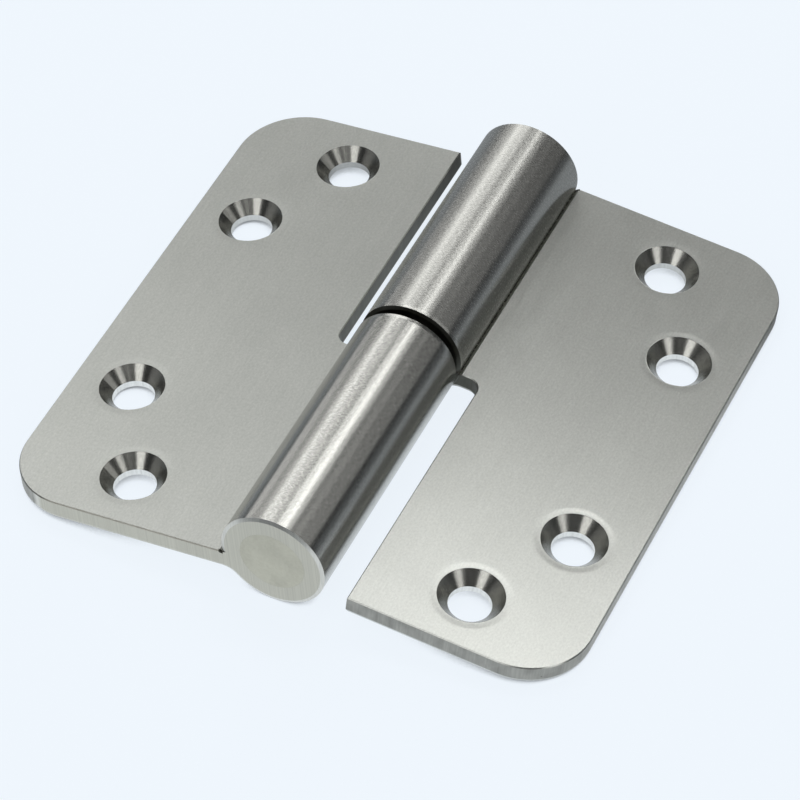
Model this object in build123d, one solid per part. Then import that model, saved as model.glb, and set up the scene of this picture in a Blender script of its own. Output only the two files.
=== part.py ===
"""Lift-off hinge, 89 by 89 by 3 mm, whose pin carries the door on a ball in its tip.

Millimetres, +Z up. The hinge lies open with its screw faces up: the pin axis runs along Y, the
frame leaf is towards -X with its knuckle at -Y, and the door leaf is towards +X with its knuckle
at +Y. The origin is on the surface that it lies on, under the middle of the barrel. Both leaves
droop from the barrel until their outer edges and the barrel's underside touch that surface.
"""
import os
from math import asin, atan2, cos, degrees, hypot, radians, sin, sqrt, tan

from build123d import *

# Leaves
leaf_length = 89.0            # along the pin axis
leaf_width = 44.5             # pin axis to a leaf's outer edge, along the leaf
plate_thickness = 3.0
leaf_corner_radius = 10.0
closed_gap = 2.0              # between the two screw faces when the hinge is shut
slot_clearance = 3.65         # between the other leaf's barrel and the slot beside it
slot_corner_radius = 2.0
rollover_height = 0.55        # how far blanking drew the back's rim up the cut edge
rollover_depth = 0.25         # the same, inwards along the back
edge_break = 0.15             # the small bevel round the screw face

# Screw holes
hole_diameter = 6.3
head_diameter = 9.7
countersink_angle = 82.0
end_hole_pitch = 71.2         # along the pin axis, between the two holes near the leaf's ends
end_hole_inset = 17.9         # from the leaf's outer edge
middle_hole_pitch = 38.8      # the same for the two holes between them
middle_hole_inset = 9.2

# Rolled knuckles
knuckle_gap = 1.3             # between the knuckles' ends, which the ball keeps open
knuckle_split = 0.5           # from the hinge's middle to the gap's, towards the door's knuckle
joggle_radius = 3.0           # hollow side of the bend that takes the sheet under the pin
seam_width = 0.06             # between the roll's free end and the sheet that it closes on
seam_ground_over = 1.0        # how far from the hinge's end that seam starts, under ground steel
crevice_width = 0.5           # the open mouth of that seam, on the screw face
crevice_depth = 0.5           # below the screw face, and above it on the roll
crevice_lean = 0.12           # how far the mouth's root lies under the roll

# Pin, ball and end plug
pin_diameter = 10.0           # also the bore that the sheet is rolled to
pin_clearance = 0.05          # radial, where the door leaf's knuckle turns on the pin
pin_tip_bevel = 0.8
ball_diameter = 7.0
ball_stand_out = 2.0          # how far the ball stands out of the pin's tip
ball_clearance = 0.03         # round the ball in its seat, and to the plug's bearing face
plug_length = 8.0
plug_lead_in = 0.3            # the bevel on the plug's inner end, where it is driven in

same_place = 0.001            # how near two places count as one when edges are picked

# Worked out from the sizes above
pin_radius = pin_diameter / 2
barrel_radius = pin_radius + plate_thickness
half_length = leaf_length / 2
frame_knuckle_start = knuckle_gap / 2 - knuckle_split   # each in its own leaf's frame
door_knuckle_start = knuckle_gap / 2 + knuckle_split
screw_face = -closed_gap / 2                        # height over the pin axis, in the leaf's frame
back_face = screw_face - plate_thickness
slot_edge = barrel_radius + slot_clearance
joggle_height = back_face - joggle_radius           # centre of the joggle's arc
joggle_x = sqrt((barrel_radius + joggle_radius) ** 2 - joggle_height ** 2)
crevice_x = sqrt(barrel_radius ** 2 - screw_face ** 2)
running_radius = pin_radius - pin_clearance
ball_radius = ball_diameter / 2
bearing_face = half_length - plug_length            # where the plug bears on the ball
ball_centre = bearing_face - ball_clearance - ball_radius
pin_tip = ball_centre + ball_radius - ball_stand_out

# A leaf droops until the rim of its back touches the ground that the barrel lies on.
rim_x = leaf_width - rollover_depth
droop = degrees(asin(barrel_radius / hypot(rim_x, back_face)) - atan2(-back_face, rim_x))


def on_arc(centre, radius, angle):
    """The point of an arc at an angle in radians, in the section across the pin axis."""
    return (centre[0] + radius * cos(angle), centre[1] + radius * sin(angle))


def rolled_section():
    """Section across the pin axis: the sheet steps down, runs under the bore and rolls round it."""
    quarter, half = radians(90), radians(180)
    pin_axis, joggle_centre = (0, 0), (joggle_x, joggle_height)
    toward_joggle = atan2(joggle_height, joggle_x)
    toward_seam = atan2(screw_face, crevice_x)
    roll_start = on_arc(pin_axis, barrel_radius, toward_joggle)
    roll_middle = on_arc(pin_axis, barrel_radius, (toward_seam + toward_joggle) / 2 + half)
    roll_end = (crevice_x, screw_face)
    joggle_middle = on_arc(joggle_centre, joggle_radius, (quarter + toward_joggle + half) / 2)
    joggle_start = (joggle_x, back_face)
    outline = (
        Line(joggle_start, (joggle_x, screw_face))
        + Line((joggle_x, screw_face), roll_end)
        + ThreePointArc(roll_end, roll_middle, roll_start)
        + ThreePointArc(roll_start, joggle_middle, joggle_start)
    )
    return make_face(outline) - Circle(pin_radius)


def along_axis(section, start, end):
    """Extrudes a section across the pin axis between two places on that axis."""
    return Pos(0, end, 0) * extrude(Plane.XZ * section, amount=end - start)


def seam_cutter(knuckle_start):
    """The crevice where the roll closes on the screw face, and the seam from there to the bore."""
    root = (crevice_x - crevice_lean, screw_face - crevice_depth)
    sheet_side = (crevice_x + crevice_width, screw_face)
    roll_side_height = screw_face + crevice_depth
    roll_side = (sqrt(barrel_radius ** 2 - roll_side_height ** 2), roll_side_height)
    outside = (sheet_side[0], roll_side_height)
    crevice = make_face(Polyline(sheet_side, outside, roll_side, root, close=True))
    seam = Rot(0, 0, degrees(atan2(root[1], root[0]))) * Rectangle(
        hypot(*root), seam_width, align=(Align.MIN, Align.CENTER))
    return along_axis(crevice, knuckle_start, half_length) + along_axis(
        seam, knuckle_start, half_length - seam_ground_over)


def plate_outline(knuckle_start):
    """The flat of the leaf, seen from its screw face, with the slot for the other knuckle."""
    blade_width = leaf_width - slot_edge
    blade = Pos(slot_edge + blade_width / 2, 0) * Rectangle(blade_width, leaf_length)
    blade = fillet(blade.vertices().sort_by(Axis.X)[-2:], leaf_corner_radius)
    tongue_width = slot_edge - joggle_x
    tongue = Pos(joggle_x + tongue_width / 2, (knuckle_start + half_length) / 2) * Rectangle(
        tongue_width, half_length - knuckle_start)
    outline = blade + tongue
    inner_corner = outline.vertices().sort_by_distance((slot_edge, knuckle_start))[0]
    return fillet(inner_corner, min(slot_corner_radius, tongue_width - edge_break))


def screw_holes():
    """Cutters for the four countersunk holes of one leaf."""
    sink_depth = (head_diameter - hole_diameter) / 2 / tan(radians(countersink_angle / 2))
    cutter = Pos(0, 0, back_face + plate_thickness / 2) * Cylinder(
        hole_diameter / 2, 2 * plate_thickness)
    cutter += Pos(0, 0, screw_face - sink_depth / 2) * Cone(
        hole_diameter / 2, head_diameter / 2, sink_depth)
    places = [
        (leaf_width - inset, side * pitch / 2)
        for inset, pitch in ((end_hole_inset, end_hole_pitch), (middle_hole_inset, middle_hole_pitch))
        for side in (-1, 1)
    ]
    return [Pos(x, y, 0) * cutter for x, y in places]


def is_level(edge, height):
    """Whether an edge lies in the level plane at this height of the leaf's frame."""
    return all(abs(edge.position_at(t).Z - height) < same_place for t in (0, 0.5, 1))


def bevelled_plate(knuckle_start):
    """The flat of the leaf, with the edges of its screw face broken."""
    outline = plate_outline(knuckle_start)
    plate = Pos(0, 0, back_face) * extrude(outline, amount=plate_thickness)
    rim = [
        edge for edge in plate.edges()
        if is_level(edge, screw_face) and abs((edge @ 0.5).X - joggle_x) > same_place
    ]
    return chamfer(rim, edge_break)


def draw_back_rim(leaf):
    """Slopes the rim of the sheet's back, which runs on round the joggle and the roll's ends."""
    back = next(
        face for face in leaf.faces().filter_by(GeomType.PLANE)
        if abs(face.center().Z - back_face) < same_place
    )
    rim = [
        edge for edge in back.outer_wire().edges()
        if abs((edge @ 0.5).X - joggle_x) > same_place
    ]
    return chamfer(rim, rollover_depth, rollover_height, reference=back)


def rolled_leaf(knuckle_start):
    """One leaf in its own frame: pin axis along Y through the origin, screw face level."""
    roll = along_axis(rolled_section(), knuckle_start, half_length)
    leaf = draw_back_rim(bevelled_plate(knuckle_start) + roll)
    return leaf - seam_cutter(knuckle_start) - screw_holes()


def place(piece):
    """Lifts a piece from the pin axis to the axis's height over the ground."""
    return Pos(0, 0, barrel_radius) * piece


def door_leaf():
    """The leaf that turns and lifts off, drooping towards +X."""
    return place(Rot(0, droop, 0) * rolled_leaf(door_knuckle_start))


def frame_leaf():
    """The fixed leaf, turned half round, drooping towards -X."""
    return place(Rot(0, 0, 180) * Rot(0, droop, 0) * rolled_leaf(frame_knuckle_start))


def hinge_pin():
    """The pin: driven into the frame leaf's knuckle, thinner where the door's turns on it."""
    profile = Polyline(
        (0, -half_length),
        (pin_radius, -half_length),
        (pin_radius, -frame_knuckle_start),
        (running_radius, -frame_knuckle_start),
        (running_radius, pin_tip - pin_tip_bevel),
        (running_radius - pin_tip_bevel, pin_tip),
        (0, pin_tip),
        close=True,
    )
    pin = revolve(make_face(profile), Axis.Y)
    return place(pin - Pos(0, ball_centre, 0) * Sphere(ball_radius + ball_clearance))


def thrust_ball():
    """The ball in the pin's tip, held there by the lip round its seat."""
    return place(Pos(0, ball_centre, 0) * Sphere(ball_radius))


def end_plug():
    """The plug in the end of the door leaf's knuckle, whose inner face bears on the ball."""
    profile = Polyline(
        (0, bearing_face),
        (pin_radius - plug_lead_in, bearing_face),
        (pin_radius, bearing_face + plug_lead_in),
        (pin_radius, half_length),
        (0, half_length),
        close=True,
    )
    return place(revolve(make_face(profile), Axis.Y))


def main():
    """Writes every piece to its own file."""
    os.makedirs("parts", exist_ok=True)
    pieces = (frame_leaf, door_leaf, hinge_pin, thrust_ball, end_plug)
    for piece in pieces:
        solid = piece()
        solid.label = piece.__name__
        export_step(solid, f"parts/{piece.__name__}.step")


if __name__ == "__main__":
    main()
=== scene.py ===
"""A lift-off hinge of brushed stainless steel, lying open on a pale studio floor.

Metres, +Z up. The pin axis runs along Y, the frame leaf lies towards -X with its knuckle at -Y,
and the door leaf lies towards +X with its knuckle at +Y. Materials work in millimetres from the
pin axis, in each leaf's own frame, where the screw face is level and the leaf runs towards +X.
"""
import logging
import math
from abc import ABC, abstractmethod
from collections.abc import Mapping, Sequence
from dataclasses import dataclass, field
from enum import Enum
from typing import Any, ClassVar

import bmesh
import bpy
from mathutils import Euler, Matrix, Vector

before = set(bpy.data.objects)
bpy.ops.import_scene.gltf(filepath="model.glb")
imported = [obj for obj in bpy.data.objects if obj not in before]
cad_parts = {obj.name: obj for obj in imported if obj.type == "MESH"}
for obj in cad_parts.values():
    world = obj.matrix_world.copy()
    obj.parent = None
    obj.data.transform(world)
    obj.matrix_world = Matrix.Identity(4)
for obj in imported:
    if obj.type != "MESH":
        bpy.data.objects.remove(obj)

log = logging.getLogger("hinge")

MM = 1000.0                                  # millimetres in a metre
AXIS_HEIGHT = 8.0                            # of the pin axis over the ground, mm
DROOP = math.radians(5.208)                  # of each leaf, from the barrel down to its outer edge
ROLL_EDGE = (8.20, 8.10)                     # from the pin axis: off the roll and on it, mm
NOISE = (0.35, 0.65)                         # between these lies most of a noise
LINE_NOISE = (0.3, 0.7)                      # the same for lines

Colour = tuple[float, float, float]
Pair = tuple[float, float]
Feed = Any                                   # a socket to join, or the constant to set instead


class Kind(Enum):
    """The kinds of socket that a shared effect may have."""

    VALUE = "NodeSocketFloat"
    VECTOR = "NodeSocketVector"


# ---- Nodes ------------------------------------------------------------------------------------


class Board:
    """A node tree that is being filled in."""

    def __init__(self, tree: bpy.types.NodeTree) -> None:
        """Starts with an empty tree.

        Args:
            tree: the tree to fill; what is in it is removed.
        """
        tree.nodes.clear()
        self.tree = tree

    def node(self, kind: str, **settings: Any) -> bpy.types.Node:
        """Adds one node.

        Args:
            kind: the node's Blender type name.
            settings: properties to set on it.

        Returns:
            The new node.
        """
        new = self.tree.nodes.new(kind)
        new.location = (190.0 * (len(self.tree.nodes) % 12), -230.0 * (len(self.tree.nodes) // 12))
        for key, value in settings.items():
            setattr(new, key, value)
        return new

    def feed(self, socket: bpy.types.NodeSocket, value: Feed) -> None:
        """Joins a socket to another, or sets its constant.

        Args:
            socket: the input socket.
            value: an output socket, or a plain number or tuple.
        """
        if isinstance(value, bpy.types.NodeSocket):
            self.tree.links.new(value, socket)
        elif socket.type == "RGBA" and len(value) == 3:
            socket.default_value = (*value, 1.0)
        else:
            socket.default_value = value

    def math(self, operation: str, first: Feed, second: Feed = None, clamp: bool = False) -> Feed:
        """One Math node.

        Args:
            operation: such as MULTIPLY.
            first: the first value.
            second: the second value, for an operation that takes two.
            clamp: whether the result stays between 0 and 1.

        Returns:
            The result's socket.
        """
        new = self.node("ShaderNodeMath", operation=operation, use_clamp=clamp)
        self.feed(new.inputs[0], first)
        if second is not None:
            self.feed(new.inputs[1], second)
        return new.outputs[0]

    def vector(self, operation: str, first: Feed, second: Feed = None) -> Feed:
        """One Vector Math node.

        Args:
            operation: such as CROSS_PRODUCT.
            first: the first vector.
            second: the second vector, for an operation that takes two.

        Returns:
            The result's socket: its value for LENGTH and DOT_PRODUCT, else its vector.
        """
        new = self.node("ShaderNodeVectorMath", operation=operation)
        self.feed(new.inputs[0], first)
        if second is not None:
            self.feed(new.inputs[1], second)
        return new.outputs["Value" if operation in ("LENGTH", "DOT_PRODUCT") else "Vector"]

    def times(self, value: Feed, *more: Feed) -> Feed:
        """Multiplies values, or overlaps masks.

        Args:
            value: the first value.
            more: the others.

        Returns:
            The product's socket.
        """
        for factor in more:
            value = self.math("MULTIPLY", value, factor)
        return value

    def other(self, mask: Feed) -> Feed:
        """Everywhere that a mask leaves out."""
        return self.math("SUBTRACT", 1.0, mask)

    def parts(self, vector: Feed) -> Sequence[Feed]:
        """Takes a vector apart.

        Args:
            vector: the vector.

        Returns:
            The sockets of its X, Y and Z.
        """
        new = self.node("ShaderNodeSeparateXYZ")
        self.feed(new.inputs[0], vector)
        return new.outputs

    def join(self, x: Feed, y: Feed, z: Feed) -> Feed:
        """Makes a vector of three values.

        Args:
            x: its X.
            y: its Y.
            z: its Z.

        Returns:
            The vector's socket.
        """
        new = self.node("ShaderNodeCombineXYZ")
        for socket, value in zip(new.inputs, (x, y, z)):
            self.feed(socket, value)
        return new.outputs[0]

    def fade(self, value: Feed, start: float, end: float, low: float = 0.0,
             high: float = 1.0) -> Feed:
        """A smooth step from low to high.

        Args:
            value: what the step follows.
            start: where the step leaves low.
            end: where it reaches high; it may lie below start.
            low: the result before the step.
            high: the result after it.

        Returns:
            The result's socket.
        """
        flip = start > end
        new = self.node("ShaderNodeMapRange", interpolation_type="SMOOTHSTEP", clamp=True)
        limits = (end, start, high, low) if flip else (start, end, low, high)
        self.feed(new.inputs["Value"], value)
        for socket, limit in zip(("From Min", "From Max", "To Min", "To Max"), limits):
            new.inputs[socket].default_value = limit
        return new.outputs[0]

    def span(self, value: Feed, low: Feed, high: Feed, start: Feed, end: Feed) -> Feed:
        """A straight climb between two limits.

        Args:
            value: what the climb follows.
            low: the result at start and before it.
            high: the result at end and after it.
            start: where the climb starts.
            end: where it ends.

        Returns:
            The result's socket.
        """
        new = self.node("ShaderNodeMapRange", clamp=True)
        for socket, given in zip(("Value", "From Min", "From Max", "To Min", "To Max"),
                                 (value, start, end, low, high)):
            self.feed(new.inputs[socket], given)
        return new.outputs[0]

    def noise(self, vector: Feed, scale: Feed, detail: float = 2.0, rough: float = 0.5,
              twist: float = 0.0) -> Feed:
        """One Noise Texture node.

        Args:
            vector: where to read it.
            scale: features for each unit of the vector.
            detail: octaves added to it.
            rough: how strong the finer octaves are.
            twist: how far it is distorted.

        Returns:
            Its value, about 0.5 in the middle.
        """
        new = self.node("ShaderNodeTexNoise", noise_dimensions="3D")
        for socket, value in (("Vector", vector), ("Scale", scale), ("Detail", detail),
                              ("Roughness", rough), ("Distortion", twist)):
            self.feed(new.inputs[socket], value)
        return new.outputs[0]

    def cells(self, vector: Feed, scale: Feed, output: str = "Distance") -> Feed:
        """One Voronoi Texture node.

        Args:
            vector: where to read it.
            scale: cells for each unit of the vector.
            output: Distance, to the nearest cell's point, or Color, which that cell has.

        Returns:
            That output's socket.
        """
        new = self.node("ShaderNodeTexVoronoi")
        self.feed(new.inputs["Vector"], vector)
        self.feed(new.inputs["Scale"], scale)
        return new.outputs[output]

    def blend(self, kind: str, share: Feed, first: Feed, second: Feed, **settings: Any) -> Feed:
        """One Mix node.

        Args:
            kind: what it blends: Float, Vector or Color.
            share: how much of the second shows.
            first: the result at 0.
            second: the result at 1.
            settings: properties to set on it.

        Returns:
            The result's socket.
        """
        new = self.node("ShaderNodeMix", **settings)
        for name, value in (("Factor_Float", share), (f"A_{kind}", first), (f"B_{kind}", second)):
            self.feed(next(s for s in new.inputs if s.identifier == name), value)
        return next(s for s in new.outputs if s.identifier == f"Result_{kind}")

    def tint(self, share: Feed, first: Feed, second: Feed) -> Feed:
        """Blends two colours: first where share is 0, second where it is 1."""
        return self.blend("Color", share, first, second, data_type="RGBA", blend_type="MIX")

    def shaded(self, colour: Feed, shade: Feed) -> Feed:
        """A colour times a value."""
        return self.blend("Color", 1.0, colour, self.join(shade, shade, shade),
                          data_type="RGBA", blend_type="MULTIPLY")

    def mix(self, share: Feed, first: Feed, second: Feed) -> Feed:
        """Blends two values: first where share is 0, second where it is 1."""
        return self.blend("Float", share, first, second, data_type="FLOAT", clamp_factor=True)

    def mix_vectors(self, share: Feed, first: Feed, second: Feed) -> Feed:
        """Blends two vectors: first where share is 0, second where it is 1."""
        return self.blend("Vector", share, first, second, data_type="VECTOR", clamp_factor=True)

    def bump(self, shader: bpy.types.Node, height: Feed) -> None:
        """Gives a shader the normals of a relief.

        Args:
            shader: the shader.
            height: the relief's height in mm.
        """
        new = self.node("ShaderNodeBump")
        new.inputs["Distance"].default_value = 1.0 / MM
        self.feed(new.inputs["Height"], height)
        self.feed(shader.inputs["Normal"], new.outputs[0])

    def turned(self, vector: Feed, rotation: Euler | None = None, move: Vector | None = None,
               scale: float = 1.0) -> Feed:
        """One Mapping node.

        Args:
            vector: what it scales, then turns, then moves.
            rotation: the turn, if any.
            move: the move, if any.
            scale: the scale.

        Returns:
            The result's socket.
        """
        new = self.node("ShaderNodeMapping", vector_type="POINT")
        self.feed(new.inputs["Vector"], vector)
        new.inputs["Rotation"].default_value = rotation or (0.0, 0.0, 0.0)
        new.inputs["Location"].default_value = move or (0.0, 0.0, 0.0)
        new.inputs["Scale"].default_value = (scale,) * 3
        return new.outputs[0]

    def use(self, effect: "Effect", **given: Feed) -> Mapping[str, Feed]:
        """Places a shared effect.

        Args:
            effect: which one.
            given: its inputs, with _ for a space in a name.

        Returns:
            Its output sockets by name.
        """
        new = self.node("ShaderNodeGroup", node_tree=effect.tree())
        for name, value in given.items():
            self.feed(new.inputs[name.replace("_", " ")], value)
        return {socket.name: socket for socket in new.outputs}


class Effect(ABC):
    """A shader node group that more than one material uses, built when first asked for."""

    name: ClassVar[str]
    inputs: ClassVar[Mapping[str, Kind]]
    outputs: ClassVar[Mapping[str, Kind]]

    @abstractmethod
    def fill(self, board: Board, given: Mapping[str, Feed]) -> Mapping[str, Feed]:
        """Adds the group's nodes.

        Args:
            board: the group's tree.
            given: its input sockets by name.

        Returns:
            What each of its outputs puts out.
        """

    def tree(self) -> bpy.types.NodeTree:
        """The group's node tree, made the first time.

        Returns:
            The tree.
        """
        known = bpy.data.node_groups.get(self.name)
        if known:
            return known
        tree = bpy.data.node_groups.new(self.name, "ShaderNodeTree")
        for name, kind in self.inputs.items():
            tree.interface.new_socket(name, in_out="INPUT", socket_type=kind.value)
        for name, kind in self.outputs.items():
            tree.interface.new_socket(name, in_out="OUTPUT", socket_type=kind.value)
        board = Board(tree)
        given = {socket.name: socket for socket in board.node("NodeGroupInput").outputs}
        results = self.fill(board, given)
        end = board.node("NodeGroupOutput")
        for name, value in results.items():
            board.feed(end.inputs[name], value)
        return tree


class FineLines(Effect):
    """Brush or turning lines: close together one way and long the other."""

    name = "fine_lines"
    inputs = {"Across": Kind.VALUE, "Along": Kind.VALUE, "Seed": Kind.VALUE,
              "Spacing": Kind.VALUE, "Length": Kind.VALUE}
    outputs = {"Lines": Kind.VALUE, "Grain": Kind.VALUE}

    coarse_scale: ClassVar[float] = 0.27         # how dense they are beside the fine ones
    coarse_share: ClassVar[float] = 0.4

    def fill(self, board: Board, given: Mapping[str, Feed]) -> Mapping[str, Feed]:
        """Fine lines mixed with coarser ones, and the fine ones alone as a grain.

        Args:
            board: the group's tree.
            given: its input sockets by name.

        Returns:
            What each of its outputs puts out.
        """
        across = board.math("DIVIDE", given["Across"], given["Spacing"])
        along = board.math("DIVIDE", given["Along"], given["Length"])
        place = board.join(across, along, given["Seed"])
        fine = board.noise(place, 1.0, detail=3.0, rough=0.6)
        coarse = board.noise(place, self.coarse_scale)
        return {"Lines": board.mix(self.coarse_share, fine, coarse), "Grain": fine}


class Clouds(Effect):
    """Broad uneven patches, as of handling, tempering and uneven brushing."""

    name = "clouds"
    inputs = {"Position": Kind.VECTOR, "Size": Kind.VALUE, "Seed": Kind.VALUE}
    outputs = {"Cloud": Kind.VALUE, "Speckle": Kind.VALUE}

    speckle_scale: ClassVar[float] = 12.0        # how dense it is beside the patches

    def fill(self, board: Board, given: Mapping[str, Feed]) -> Mapping[str, Feed]:
        """Soft patches of the given size, and a much finer speckle.

        Args:
            board: the group's tree.
            given: its input sockets by name.

        Returns:
            What each of its outputs puts out.
        """
        place = board.node("ShaderNodeVectorMath", operation="SCALE")
        board.feed(place.inputs[0], given["Position"])
        board.feed(place.inputs["Scale"], board.math("DIVIDE", 1.0, given["Size"]))
        seeded = board.vector("ADD", place.outputs[0],
                              board.join(given["Seed"], 0.0, given["Seed"]))
        return {"Cloud": board.noise(seeded, 1.0, detail=4.0, rough=0.55, twist=0.4),
                "Speckle": board.noise(seeded, self.speckle_scale, rough=0.6)}


class Specks(Effect):
    """Small round pits or grains of dust, thinly and unevenly scattered."""

    name = "specks"
    inputs = {"Position": Kind.VECTOR, "Spacing": Kind.VALUE, "Radius": Kind.VALUE,
              "Share": Kind.VALUE}
    outputs = {"Speck": Kind.VALUE}

    soft_edge: ClassVar[Pair] = (0.6, 1.2)       # in radii of the speck

    def fill(self, board: Board, given: Mapping[str, Feed]) -> Mapping[str, Feed]:
        """One speck at most in each cell, and only in the given share of the cells.

        Args:
            board: the group's tree.
            given: its input sockets by name.

        Returns:
            What each of its outputs puts out.
        """
        scale = board.math("DIVIDE", 1.0, given["Spacing"])
        reach = board.times(board.cells(given["Position"], scale), given["Spacing"])
        red = board.parts(board.cells(given["Position"], scale, "Color"))[0]
        chosen = board.math("LESS_THAN", red, given["Share"])
        near = board.span(board.math("DIVIDE", reach, given["Radius"]), 1.0, 0.0, *self.soft_edge)
        return {"Speck": board.times(near, chosen)}


class LeafRegions(Effect):
    """Which face of a leaf a point lies on, from its place and normal in the leaf's own frame.

    Lengths are in mm. Each pair but the places gives where a mask starts to fade and where it has
    faded.
    """

    name = "leaf_regions"
    inputs = {"Position": Kind.VECTOR, "Normal": Kind.VECTOR}
    outputs = {"Roll": Kind.VALUE, "End": Kind.VALUE, "Wall": Kind.VALUE, "Sink": Kind.VALUE,
               "Bore": Kind.VALUE, "Shaded Gap": Kind.VALUE, "Rim": Kind.VALUE,
               "Hole Distance": Kind.VALUE}

    hole_places: ClassVar[tuple[Pair, ...]] = ((26.6, 35.6), (35.3, 19.4))
    sink_edge: ClassVar[Pair] = (4.90, 4.83)     # from a hole's middle
    far_from_holes: ClassVar[float] = 20.0       # what the leaf's back counts as
    ground_from: ClassVar[Pair] = (43.5, 44.0)   # along the pin
    slot_edge: ClassVar[Pair] = (12.6, 12.0)     # from the pin axis
    slot_end: ClassVar[Pair] = (44.3, 44.0)      # along the pin
    gap_edge: ClassVar[Pair] = (6.0, 4.0)        # along the pin
    mouth_place: ClassVar[Pair] = (8.15, -0.95)  # of the seam's mouth, across the leaf and up
    mouth_edge: ClassVar[Pair] = (0.48, 0.36)    # from that place
    mouth_from: ClassVar[Pair] = (44.0, 44.2)    # along the pin
    # How much of a normal points along the pin, up, down or out from the pin.
    faces_pin: ClassVar[Pair] = (0.55, 0.80)
    faces_sideways: ClassVar[Pair] = (0.45, 0.30)
    faces_back: ClassVar[Pair] = (-0.3, -0.6)
    rim_from: ClassVar[Pair] = (0.25, 0.36)
    rim_to: ClassVar[Pair] = (-0.60, -0.48)

    def fill(self, board: Board, given: Mapping[str, Feed]) -> Mapping[str, Feed]:
        """A mask for each kind of face, and how far the nearest hole's middle lies in mm.

        Args:
            board: the group's tree.
            given: its input sockets by name.

        Returns:
            What each of its outputs puts out.
        """
        x, y, z = board.parts(given["Position"])
        across, along, up = board.parts(given["Normal"])
        radius = board.vector("LENGTH", board.join(x, 0.0, z))
        in_roll = board.fade(radius, *ROLL_EDGE)
        depth = board.math("ABSOLUTE", y)
        reaches = [board.vector("LENGTH", board.join(board.math("SUBTRACT", x, hole_x),
                                                     board.math("SUBTRACT", depth, hole_y), 0.0))
                   for hole_x, hole_y in self.hole_places]
        # The sinks are cut from the screw face, so the leaf's back is kept far from every hole.
        hole = board.math("ADD", board.math("MINIMUM", *reaches),
                          board.fade(up, *self.faces_back, 0.0, self.far_from_holes))
        sink = board.fade(hole, *self.sink_edge)
        # The sheet's end beside the knuckle was ground in one go with the knuckle's and the pin's.
        end = board.times(board.fade(along, *self.faces_pin), board.fade(y, *self.ground_from))
        upright = board.times(board.fade(board.math("ABSOLUTE", up), *self.faces_sideways),
                              board.other(in_roll))
        bore = board.times(upright, sink)
        upright = board.times(upright, board.other(sink))
        wall = board.times(upright, board.other(end))
        # The slot's walls and the knuckle's inner end face narrow gaps where shade falls, and are
        # given a painted shade.
        in_slot = board.times(wall, board.fade(x, *self.slot_edge),
                              board.fade(depth, *self.slot_end))
        inner_end = board.times(board.fade(along, *(-share for share in self.faces_pin)), in_roll,
                                board.fade(depth, *self.gap_edge))
        # The mouth of the seam, where the roll's free end closes on the screw face, gets the same
        # painted shade.
        mouth_x, mouth_z = self.mouth_place
        mouth = board.vector("LENGTH", board.join(board.math("SUBTRACT", x, mouth_x), 0.0,
                                                  board.math("SUBTRACT", z, mouth_z)))
        mouth = board.times(board.fade(mouth, *self.mouth_edge), board.fade(y, *self.mouth_from))
        shaded_gap = board.math("MAXIMUM", board.math("MAXIMUM", in_slot, inner_end), mouth)
        roll = board.times(in_roll,
                           board.fade(board.math("ABSOLUTE", along), *reversed(self.faces_pin)))
        # Blanking drew and burnished the rim of the sheet's back, which the roll's end shows too.
        # Its pale tone is partly that burnish and partly a painted highlight.
        outward = board.math("ADD", board.times(across, x), board.times(up, z))
        outward = board.math("DIVIDE", outward, board.math("MAXIMUM", radius, 1.0))
        roll_rim = board.times(board.fade(outward, *self.rim_from), end)
        plate_rim = board.times(board.fade(up, *(-share for share in self.rim_from)),
                                board.fade(up, *self.rim_to), upright)
        return {"Roll": roll, "End": end, "Wall": wall, "Sink": sink, "Bore": bore,
                "Shaded Gap": shaded_gap, "Rim": board.math("MAXIMUM", plate_rim, roll_rim),
                "Hole Distance": hole}


# ---- Finishes ---------------------------------------------------------------------------------


@dataclass(frozen=True)
class LeafFrame:
    """Where a leaf's own frame lies in the hinge."""

    turned_round: bool

    def rotation(self) -> Euler:
        """The turn from the hinge's frame to the leaf's.

        Returns:
            The turn.
        """
        turn = Matrix.Rotation(-DROOP, 3, "Y")
        if self.turned_round:
            turn = turn @ Matrix.Rotation(math.pi, 3, "Z")
        return turn.to_euler()

    def shift(self) -> Vector:
        """The move that follows that turn, in mm, so that the pin axis is at zero."""
        return -(self.rotation().to_matrix() @ Vector((0.0, 0.0, AXIS_HEIGHT)))

    def direction(self, board: Board, way: tuple[float, float, float]) -> Feed:
        """A direction of the leaf's own frame, in the world's wherever the leaf has turned to.

        Args:
            board: the material's tree.
            way: the direction in the leaf's frame.

        Returns:
            The direction's socket.
        """
        new = board.node("ShaderNodeVectorTransform", vector_type="VECTOR",
                         convert_from="OBJECT", convert_to="WORLD")
        new.inputs[0].default_value = self.rotation().to_matrix().inverted() @ Vector(way)
        return new.outputs[0]


@dataclass(frozen=True)
class Finish(ABC):
    """A material's name and what every steel here has."""

    name: str

    def material(self) -> bpy.types.Material:
        """Makes the material.

        Returns:
            The material, with its nodes.
        """
        new = bpy.data.materials.new(self.name)
        new.use_nodes = True
        board = Board(new.node_tree)
        shader = board.node("ShaderNodeBsdfPrincipled")
        shader.inputs["Metallic"].default_value = 1.0
        self.fill(board, shader)
        end = board.node("ShaderNodeOutputMaterial")
        board.feed(end.inputs["Surface"], shader.outputs[0])
        return new

    @abstractmethod
    def fill(self, board: Board, shader: bpy.types.Node) -> None:
        """Adds the nodes that feed the material's Principled shader."""


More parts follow.
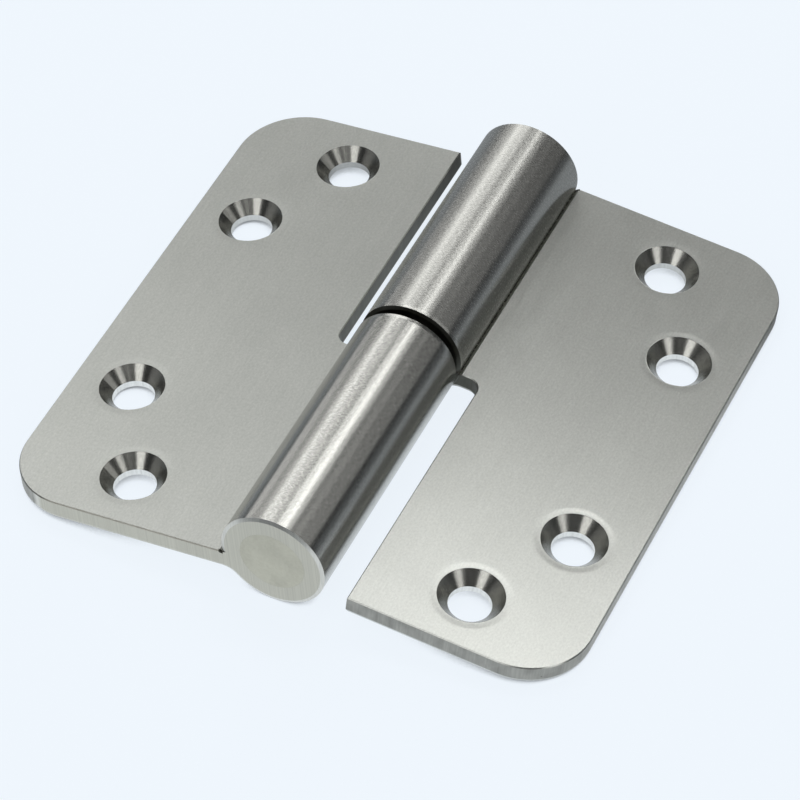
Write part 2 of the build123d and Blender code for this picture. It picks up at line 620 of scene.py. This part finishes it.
@dataclass(frozen=True)
class LeafSteel(Finish):
    """Brushed sheet: lines along the pin on the blade and round it on the roll, cut edges matt."""

    place: LeafFrame
    seed: float
    roll_rough: float
    knuckle_start: float                         # of the knuckle's inner end along the pin, mm
    blade: Colour = (0.505, 0.515, 0.485)
    roll: Colour = (0.53, 0.53, 0.50)
    # The other faces' colours and roughnesses, each laid over those before it. The near-black of
    # the shaded gaps is painted shade.
    tones: ClassVar[Mapping[str, Colour]] = {
        "Wall": (0.36, 0.355, 0.325), "Sink": (0.42, 0.42, 0.39), "Bore": (0.80, 0.80, 0.77),
        # The rim's pale tone is partly burnish and partly a painted highlight.
        "End": (0.605, 0.59, 0.515), "Rim": (0.66, 0.65, 0.60), "Shaded Gap": (0.10, 0.10, 0.085)}
    blade_rough: ClassVar[float] = 0.30
    roughs: ClassVar[Mapping[str, float]] = {
        "Wall": 0.50, "Sink": 0.25, "End": 0.56, "Rim": 0.34, "Shaded Gap": 0.40}
    anisotropy: ClassVar[float] = 0.75
    # How dark and how bright each of these makes the steel.
    line_shade: ClassVar[Pair] = (0.94, 1.05)
    cut_line_shade: ClassVar[Pair] = (0.84, 1.13)
    long_line_shade: ClassVar[Pair] = (0.985, 1.015)
    cloud_shade: ClassVar[Pair] = (0.975, 1.02)
    blade_grain_shade: ClassVar[Pair] = (0.93, 1.07)
    roll_grain_shade: ClassVar[Pair] = (0.86, 1.13)
    stain_shade: ClassVar[Pair] = (0.86, 1.10)
    pit_shade: ClassVar[float] = 0.45
    dust_shade: ClassVar[float] = 1.25
    dusty_cloud: ClassVar[Pair] = (0.50, 0.62)   # dust lies only where the clouds are above this
    end_calm: ClassVar[float] = 0.92             # how much of the lines a ground end loses
    line_rough: ClassVar[Pair] = (-0.02, 0.03)   # what the lines add to the roughness
    tangent_nudge: ClassVar[tuple[float, float, float]] = (0.011, 0.0, 0.037)  # so none is zero
    # Relief, mm.
    line_relief: ClassVar[Pair] = (0.0025, 0.0018)  # on the blade and on the roll
    grain_relief: ClassVar[float] = 0.003
    dip_edge: ClassVar[Pair] = (6.1, 4.8)        # from a hole's middle
    dip_depth: ClassVar[float] = 0.020
    worn_width: ClassVar[float] = 0.9            # along the pin from the knuckle's inner end
    worn_depth: ClassVar[float] = 0.07

    def fill(self, board: Board, shader: bpy.types.Node) -> None:
        """Colour, roughness and bump for each face of the leaf, and the way its lines run.

        Args:
            board: the material's tree.
            shader: its Principled shader.
        """
        spot = board.node("ShaderNodeTexCoord")
        turn = self.place.rotation()
        position = board.turned(spot.outputs["Object"], turn, self.place.shift(), MM)
        face = board.use(LeafRegions(), Position=position,
                         Normal=board.turned(spot.outputs["Normal"], turn))
        x, y, z = board.parts(position)
        round_pin = board.times(board.math("ARCTAN2", x, z), AXIS_HEIGHT)

        blade_lines = board.use(FineLines(), Across=x, Along=y, Seed=self.seed,
                                Spacing=0.14, Length=1.5)["Lines"]
        wall_lines = board.use(FineLines(), Across=board.math("ADD", x, y), Along=z,
                               Seed=self.seed + 5.0, Spacing=0.35, Length=3.0)["Lines"]
        long_lines = board.use(FineLines(), Across=x, Along=y, Seed=self.seed + 7.0,
                               Spacing=0.60, Length=30.0)["Lines"]
        blade_grain = board.use(FineLines(), Across=x, Along=y, Seed=self.seed + 9.0,
                                Spacing=0.28, Length=0.45)["Grain"]
        roll_grain = board.use(FineLines(), Across=y, Along=round_pin, Seed=self.seed + 11.0,
                               Spacing=0.16, Length=0.55)["Grain"]
        clouds = board.use(Clouds(), Position=position, Size=14.0, Seed=self.seed)["Cloud"]
        stains = board.use(Clouds(), Position=position, Size=2.6, Seed=self.seed + 1.0)["Cloud"]
        pits = board.use(Specks(), Position=position, Spacing=0.9, Radius=0.11, Share=0.16)
        dust = board.use(Specks(), Position=position, Spacing=1.7, Radius=0.10, Share=0.30)

        lines = board.mix(face["Roll"], blade_lines, roll_grain)
        lines = board.mix(board.math("MAXIMUM", face["Wall"], face["End"]), lines, wall_lines)
        lines = board.mix(board.times(face["End"], self.end_calm), lines, 0.5)
        edge_on = board.math("MAXIMUM", face["Wall"], face["Shaded Gap"])

        colour = board.tint(face["Roll"], self.blade, self.roll)
        for name, tone in self.tones.items():
            colour = board.tint(face[name], colour, tone)
        dark, bright = (board.mix(edge_on, plain, cut)
                        for plain, cut in zip(self.line_shade, self.cut_line_shade))
        speckle = board.mix(face["Roll"], board.span(blade_grain, *self.blade_grain_shade, *NOISE),
                            board.span(roll_grain, *self.roll_grain_shade, *NOISE))
        pitted = board.times(pits["Speck"], face["Wall"])
        dusty = board.times(dust["Speck"], board.fade(clouds, *self.dusty_cloud))
        shade = board.times(board.span(lines, dark, bright, *LINE_NOISE),
                            board.span(long_lines, *self.long_line_shade, *LINE_NOISE),
                            board.span(clouds, *self.cloud_shade, *NOISE), speckle,
                            board.mix(edge_on, 1.0, board.span(stains, *self.stain_shade, *NOISE)),
                            board.mix(pitted, 1.0, self.pit_shade),
                            board.mix(dusty, 1.0, self.dust_shade))
        board.feed(shader.inputs["Base Color"], board.shaded(colour, shade))

        rough = board.mix(face["Roll"], self.blade_rough, self.roll_rough)
        rough = board.math("ADD", rough, board.span(lines, *self.line_rough, *NOISE))
        for name, value in self.roughs.items():
            rough = board.mix(face[name], rough, value)
        board.feed(shader.inputs["Roughness"], rough)
        shader.inputs["Anisotropic"].default_value = self.anisotropy
        board.feed(shader.inputs["Tangent"], self.blur_way(board, x, z, face))
        board.bump(shader, self.relief(board, y, face, lines, blade_grain))

    def blur_way(self, board: Board, x: Feed, z: Feed, face: Mapping[str, Feed]) -> Feed:
        """The way across the lines on each face, in which they blur a reflection.

        Args:
            board: the material's tree.
            x: the place across the leaf.
            z: the place up from the leaf.
            face: the masks of the leaf's faces.

        Returns:
            The tangent's socket.
        """
        normal_way = board.node("ShaderNodeNewGeometry").outputs["Normal"]
        pin_way = self.place.direction(board, (0.0, 1.0, 0.0))
        face_way = self.place.direction(board, (0.0, 0.0, 1.0))
        across_pin = board.vector("CROSS_PRODUCT", pin_way, normal_way)
        round_edge = board.vector("CROSS_PRODUCT", face_way, normal_way)
        down_sink = board.vector("CROSS_PRODUCT", round_edge, normal_way)
        near_roll = board.fade(board.vector("LENGTH", board.join(x, 0.0, z)), *ROLL_EDGE)
        edge_on = board.math("MAXIMUM", face["Wall"], face["Shaded Gap"])
        way = board.mix_vectors(near_roll, across_pin, pin_way)
        way = board.mix_vectors(board.math("MAXIMUM", edge_on, face["End"]), way, round_edge)
        way = board.mix_vectors(face["Sink"], way, down_sink)
        return board.vector("ADD", way, self.tangent_nudge)

    def relief(self, board: Board, y: Feed, face: Mapping[str, Feed], lines: Feed,
               grain: Feed) -> Feed:
        """The lines' height, with a slight dish round each hole and a worn edge on the roll.

        Args:
            board: the material's tree.
            y: the place along the pin.
            face: the masks of the leaf's faces.
            lines: the lines that run on each face.
            grain: the blade's grain.

        Returns:
            The height's socket, in mm.
        """
        height = board.times(lines, board.mix(face["Roll"], *self.line_relief))
        height = board.math("ADD", height, board.times(grain, self.grain_relief))
        dip = board.fade(face["Hole Distance"], *self.dip_edge, 0.0, -self.dip_depth)
        height = board.math("ADD", height, board.times(dip, board.other(face["Sink"])))
        # The sheet's edge was rounded before it was rolled into the knuckle.
        from_end = board.math("SUBTRACT", y, self.knuckle_start)
        worn = board.fade(from_end, self.worn_width, 0.0, 0.0, -self.worn_depth)
        return board.math("ADD", height, board.times(worn, face["Roll"]))


@dataclass(frozen=True)
class TurnedSteel(Finish):
    """Pin or plug: fine turning lines round it, and a ground end."""

    seed: float
    shank: Colour = (0.52, 0.52, 0.50)
    face: Colour = (0.58, 0.565, 0.475)
    radius: float = 5.0
    faces_pin: ClassVar[Pair] = (0.7, 0.9)       # how much of a normal points along the pin
    joint_edge: ClassVar[Pair] = (0.14, 0.02)    # inwards from the ground end's rim, mm
    # How dark and how bright each of these makes the steel.
    joint_shade: ClassVar[float] = 0.95
    line_shade: ClassVar[Pair] = (0.9, 1.06)
    cloud_shade: ClassVar[Pair] = (0.95, 1.04)
    shank_rough: ClassVar[float] = 0.24
    end_rough: ClassVar[Pair] = (0.52, 0.62)
    line_relief: ClassVar[float] = 0.004         # mm
    grind_relief: ClassVar[float] = 0.003        # mm

    def fill(self, board: Board, shader: bpy.types.Node) -> None:
        """Turned lines on the shank, clouds and a faint grain on the ground ends.

        Args:
            board: the material's tree.
            shader: its Principled shader.
        """
        spot = board.node("ShaderNodeTexCoord")
        position = board.turned(spot.outputs["Object"], move=Vector((0.0, 0.0, -AXIS_HEIGHT)),
                                scale=MM)
        x, y, z = board.parts(position)
        facing_end = board.math("ABSOLUTE", board.parts(spot.outputs["Normal"])[1])
        end = board.fade(facing_end, *self.faces_pin)
        round_pin = board.times(board.math("ARCTAN2", x, z), self.radius)
        lines = board.use(FineLines(), Across=y, Along=round_pin, Seed=self.seed,
                          Spacing=0.12, Length=9.0)["Lines"]
        grind = board.use(FineLines(), Across=z, Along=x, Seed=self.seed + 2.0,
                          Spacing=0.25, Length=4.0)["Lines"]
        clouds = board.use(Clouds(), Position=position, Size=4.0, Seed=self.seed)
        # The joint with the knuckle is a hairline in the ground face.
        joint = board.fade(board.vector("LENGTH", board.join(x, 0.0, z)),
                           *(self.radius - inset for inset in self.joint_edge),
                           1.0, self.joint_shade)
        ground = board.times(joint, board.span(clouds["Cloud"], *self.cloud_shade, *NOISE))
        shade = board.mix(end, board.span(lines, *self.line_shade, *LINE_NOISE), ground)
        board.feed(shader.inputs["Base Color"],
                   board.shaded(board.tint(end, self.shank, self.face), shade))
        rough = board.span(clouds["Speckle"], *self.end_rough, *NOISE)
        board.feed(shader.inputs["Roughness"], board.mix(end, self.shank_rough, rough))
        board.bump(shader, board.mix(end, board.times(lines, self.line_relief),
                                     board.times(grind, self.grind_relief)))


@dataclass(frozen=True)
class BallSteel(Finish):
    """A polished bearing ball with a trace of use."""

    tone: Colour = (0.66, 0.66, 0.67)
    cloud_shade: ClassVar[Pair] = (0.95, 1.03)
    rough: ClassVar[Pair] = (0.06, 0.14)

    def fill(self, board: Board, shader: bpy.types.Node) -> None:
        """A mirror polish, a little uneven.

        Args:
            board: the material's tree.
            shader: its Principled shader.
        """
        position = board.turned(board.node("ShaderNodeTexCoord").outputs["Object"], scale=MM)
        clouds = board.use(Clouds(), Position=position, Size=2.0, Seed=4.0)
        shade = board.span(clouds["Cloud"], *self.cloud_shade, *NOISE)
        board.feed(shader.inputs["Base Color"], board.shaded(self.tone, shade))
        board.feed(shader.inputs["Roughness"],
                   board.span(clouds["Speckle"], *self.rough, *NOISE))


# ---- Sub-assemblies ---------------------------------------------------------------------------


@dataclass
class SubAssembly(ABC):
    """Pieces of the hinge that move together."""

    body: str

    @abstractmethod
    def finishes(self) -> Mapping[str, Finish]:
        """The finish of each of its pieces, by the piece's name."""

    def dress(self, nodes: Mapping[str, bpy.types.Object]) -> None:
        """Gives every piece its finish.

        Args:
            nodes: the hinge's pieces by name.
        """
        for name, finish in self.finishes().items():
            piece = nodes[name]
            material = finish.material()
            if not piece.material_slots:
                piece.data.materials.append(material)
            for slot in piece.material_slots:
                slot.material = material
            log.info("%s: %s on body %s", name, finish.name, self.body)


@dataclass
class FrameSide(SubAssembly):
    """The leaf that is screwed to the frame, with the pin driven into its knuckle."""

    body: str = "frame_side"

    def finishes(self) -> Mapping[str, Finish]:
        """Brushed sheet for the leaf, turned steel for the pin."""
        # The frame leaf's blade is the door leaf's sheet painted darker: painted shade.
        return {"frame_leaf": LeafSteel("brushed_frame_leaf_painted_shade", LeafFrame(True), 1.0, 0.22, 0.15,
                                        blade=(0.455, 0.465, 0.437)),
                "hinge_pin": TurnedSteel("ground_pin", 2.0)}


@dataclass
class Ball(SubAssembly):
    """The ball in the pin's tip."""

    body: str = "ball"

    def finishes(self) -> Mapping[str, Finish]:
        """Polished steel."""
        return {"thrust_ball": BallSteel("polished_ball")}


@dataclass
class DoorSide(SubAssembly):
    """The leaf that is screwed to the door, with the plug in its knuckle's end."""

    body: str = "door_side"

    def finishes(self) -> Mapping[str, Finish]:
        """Brushed sheet for the leaf, turned steel for the plug."""
        return {"door_leaf": LeafSteel("brushed_door_leaf", LeafFrame(False), 21.0, 0.25, 1.15),
                "end_plug": TurnedSteel("ground_plug", 8.0)}


# ---- Studio -----------------------------------------------------------------------------------


def add_object(name: str, data: bpy.types.ID) -> bpy.types.Object:
    """Makes an object and puts it in the scene.

    Args:
        name: what to call it.
        data: its mesh, lamp or camera.

    Returns:
        The object.
    """
    new = bpy.data.objects.new(name, data)
    bpy.context.scene.collection.objects.link(new)
    return new


@dataclass(frozen=True)
class SoftBox:
    """A soft lamp that faces the hinge. All its angles are degrees as seen from the hinge."""

    around: float                 # about the pin axis, from straight up towards +X
    along: float                  # from there towards +Y
    width: float                  # its span round the pin
    length: float                 # its span along the pin
    brightness: float             # of its face, where white under plain light is 1
    distance: ClassVar[float] = 1.2

    def span(self, angle: float) -> float:
        """The length in metres that spans an angle at the lamp's distance."""
        return 2.0 * self.distance * math.tan(math.radians(angle) / 2.0)

    def place(self, name: str) -> bpy.types.Object:
        """Makes the lamp, which the camera doesn't see.

        Args:
            name: what to call it.

        Returns:
            The lamp.
        """
        turn, rise = math.radians(self.around), math.radians(self.along)
        across = Vector((math.cos(turn), 0.0, -math.sin(turn)))
        away = Vector((math.cos(rise) * math.sin(turn), math.sin(rise),
                       math.cos(rise) * math.cos(turn)))
        data = bpy.data.lights.new(name, "AREA")
        data.shape = "RECTANGLE"
        data.size, data.size_y = self.span(self.width) * math.cos(rise), self.span(self.length)
        data.energy = self.brightness * math.pi * data.size * data.size_y
        lamp = add_object(name, data)
        lamp.location = away * self.distance
        lamp.rotation_euler = Matrix((across, away.cross(across), away)).transposed().to_euler()
        lamp.visible_camera = False
        return lamp


@dataclass
class Studio:
    """The floor with its cove, the plain light and the camera."""

    backdrop: Colour = (0.871, 0.930, 0.991)
    room: Colour = (0.03, 0.031, 0.032)
    floor_middle: float = 0.3
    floor_reach: float = 3.0
    cove_reach: float = 0.5
    cove_height: float = 0.55
    cove_steps: int = 10
    floor_sides: int = 96
    shadow_share: float = 0.12                   # how much of the floor's tone the lamps make
    plain_level: float = 1.049                   # of the rest, so that both make the backdrop
    # The floor's plain tone carries a painted shadow where pieces lie close above it: how far it
    # looks for them, and how open it is where that shadow is darkest and where it is clear, seen by
    # the camera and in the hinge's own reflections.
    painted_shadow_reach: Pair = (0.003, 0.010)
    painted_shadow_dark: Pair = (0.22, 0.09)
    painted_shadow_open: Pair = (0.42, 0.15)
    painted_shadow_level: float = 0.2                      # what is left of its tone where it is darkest
    # The pool of light that reflections show: where it is, and where and how far it falls off,
    # near the hinge and farther out.
    pool_place: tuple[float, float, float] = (0.008, -0.028, 0.0)
    pool_reach: Pair = (0.055, 0.08)
    pool_middle: float = 0.32
    far_reach: Pair = (0.4, 1.2)
    pool_edge: float = 0.37
    camera_place: Vector = field(default_factory=lambda: Vector((0.17507, -0.38652, 0.44336)))
    camera_aim: Vector = field(default_factory=lambda: Vector((0.00143, -0.00537, 0.004)))
    camera_roll: float = math.radians(0.612)
    lens: float = 188.13
    clip: Pair = (0.01, 20.0)
    boxes: Sequence[SoftBox] = (
        # Behind the hinge, from the left over the top to the right: the barrel mirrors this row.
        SoftBox(-74.0, 34.0, 16.0, 8.0, 1.39),
        SoftBox(-51.0, 34.0, 30.0, 8.0, 0.97),
        SoftBox(-23.0, 34.0, 26.0, 8.0, 0.69),
        SoftBox(-42.0, 35.0, 8.0, 12.0, 0.7),
        SoftBox(-5.0, 32.5, 10.0, 8.0, 3.4),
        SoftBox(4.5, 34.0, 9.0, 8.0, 4.6),
        SoftBox(13.5, 34.0, 9.0, 8.0, 1.7),
        SoftBox(29.0, 34.0, 22.0, 8.0, 0.72),
        SoftBox(54.0, 34.0, 28.0, 8.0, 0.38),
        # Above that row.
        SoftBox(-46.0, 22.0, 20.0, 16.0, 0.36),
        SoftBox(-29.0, 22.0, 14.0, 16.0, 2.99),
        SoftBox(-16.0, 22.0, 12.0, 16.0, 1.8),
        SoftBox(4.0, 22.0, 28.0, 16.0, 1.0),
        SoftBox(48.0, 22.0, 40.0, 16.0, 0.53),
        # Behind it and lower.
        SoftBox(-46.0, 42.5, 20.0, 9.0, 0.87),
        SoftBox(-29.0, 42.5, 14.0, 9.0, 0.25),
        SoftBox(0.0, 45.0, 6.0, 8.0, 1.5),
        SoftBox(-69.0, 54.5, 26.0, 15.0, 1.72),
        SoftBox(-39.0, 54.5, 34.0, 15.0, 2.1),
        SoftBox(-16.0, 54.5, 12.0, 15.0, 0.5),
        # In front, one on each side of the camera: the countersinks mirror these two.
        SoftBox(-12.0, -55.0, 40.0, 24.0, 2.0),
        SoftBox(58.0, -18.0, 30.0, 20.0, 1.7),
        # Overhead, dim and wide: the hinge mirrors these when it is seen from above or from behind.
        SoftBox(0.0, -1.0, 66.0, 24.0, 0.70),
        SoftBox(0.0, -28.0, 60.0, 26.0, 0.70),
        # Low at the sides, dim.
        SoftBox(-70.0, -20.0, 24.0, 40.0, 0.25),
        SoftBox(80.0, -50.0, 16.0, 30.0, 0.40),
    )

    def build_floor(self) -> None:
        """A round floor that curves up into a low cove, so that every view has a pale ground."""
        rings = [(self.floor_middle, 0.0), (self.floor_reach, 0.0)]
        for step in range(1, self.cove_steps + 1):
            angle = math.radians(90.0) * step / self.cove_steps
            rings.append((self.floor_reach + self.cove_reach * math.sin(angle),
                          self.cove_height * (1.0 - math.cos(angle))))
        mesh = bmesh.new()
        centre = mesh.verts.new((0.0, 0.0, 0.0))
        last: list[bmesh.types.BMVert] = []
        for reach, height in rings:
            ring = [mesh.verts.new((reach * math.cos(turn), reach * math.sin(turn), height))
                    for turn in (math.tau * side / self.floor_sides
                                 for side in range(self.floor_sides))]
            for side in range(self.floor_sides):
                after = (side + 1) % self.floor_sides
                if last:
                    mesh.faces.new((last[side], ring[side], ring[after], last[after]))
                else:
                    mesh.faces.new((centre, ring[side], ring[after]))
            last = ring
        data = bpy.data.meshes.new("floor")
        mesh.to_mesh(data)
        mesh.free()
        data.shade_smooth()
        data.materials.append(self.floor_material())
        floor = add_object("floor", data)

    def floor_material(self) -> bpy.types.Material:
        """Pale and matt. Camera and mirror rays see most of it as plain colour, so it stays even,
        but for a painted shadow where pieces lie close above it.

        In the hinge's reflections the floor is bright near it and falls off farther out, as a
        sheet of paper does outside the lamps' pool.

        Returns:
            The material.
        """
        new = bpy.data.materials.new("pale_floor")
        new.use_nodes = True
        board = Board(new.node_tree)
        matt = board.node("ShaderNodeBsdfDiffuse")
        board.feed(matt.inputs["Color"], self.backdrop)
        plain = board.node("ShaderNodeEmission")
        board.feed(plain.inputs["Color"], self.backdrop)
        path = board.node("ShaderNodeLightPath")
        spot = board.node("ShaderNodeTexCoord").outputs["Object"]
        reach = board.vector("LENGTH", board.vector("SUBTRACT", spot, self.pool_place))
        pool = board.times(board.fade(reach, *self.pool_reach, 1.0, self.pool_middle),
                           board.fade(reach, *self.far_reach, 1.0, self.pool_edge))
        mirrored = path.outputs["Is Glossy Ray"]
        painted_shadow = board.node("ShaderNodeAmbientOcclusion", samples=8)
        board.feed(painted_shadow.inputs["Distance"], board.mix(mirrored, *self.painted_shadow_reach))
        open_share = board.span(painted_shadow.outputs["AO"], self.painted_shadow_level, 1.0,
                                board.mix(mirrored, *self.painted_shadow_dark),
                                board.mix(mirrored, *self.painted_shadow_open))
        board.feed(plain.inputs["Strength"],
                   board.times(open_share, board.mix(mirrored, 1.0, pool), self.plain_level))
        seen = board.math("MAXIMUM", path.outputs["Is Camera Ray"], mirrored)
        seen = board.math("MAXIMUM", seen, path.outputs["Is Transmission Ray"])
        mix = board.node("ShaderNodeMixShader")
        board.feed(mix.inputs[0], board.times(seen, 1.0 - self.shadow_share))
        board.feed(mix.inputs[1], matt.outputs[0])
        board.feed(mix.inputs[2], plain.outputs[0])
        end = board.node("ShaderNodeOutputMaterial")
        board.feed(end.inputs["Surface"], mix.outputs[0])
        return new

    def build_light(self) -> None:
        """The soft lamps, and the plain grey room round them."""
        for number, box in enumerate(self.boxes):
            box.place(f"soft_box_{number}")
        log.info("%d soft boxes", len(self.boxes))
        world = bpy.data.worlds.new("room")
        bpy.context.scene.world = world
        world.use_nodes = True
        board = Board(world.node_tree)
        shader = board.node("ShaderNodeBackground")
        board.feed(shader.inputs["Color"], self.room)
        end = board.node("ShaderNodeOutputWorld")
        board.feed(end.inputs["Surface"], shader.outputs[0])

    def build_camera(self) -> None:
        """The photograph's camera."""
        data = bpy.data.cameras.new("camera")
        data.lens = self.lens
        data.clip_start, data.clip_end = self.clip
        camera = add_object("camera", data)
        look = (self.camera_aim - self.camera_place).to_track_quat("-Z", "Y").to_matrix()
        camera.rotation_euler = (look @ Matrix.Rotation(self.camera_roll, 3, "Z")).to_euler()
        camera.location = self.camera_place
        bpy.context.scene.camera = camera
        log.info("camera %.0f mm lens", data.lens)

    def build(self) -> None:
        """Everything that isn't the hinge."""
        self.build_camera()
        self.build_floor()
        self.build_light()
        bpy.context.scene.view_settings.view_transform = "Standard"


def main() -> None:
    """Builds the studio and dresses the hinge."""
    logging.basicConfig(level=logging.INFO, format="%(name)s: %(message)s")
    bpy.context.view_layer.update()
    Studio().build()
    for assembly in (FrameSide(), Ball(), DoorSide()):
        assembly.dress(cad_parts)


if __name__ == "__main__":
    main()
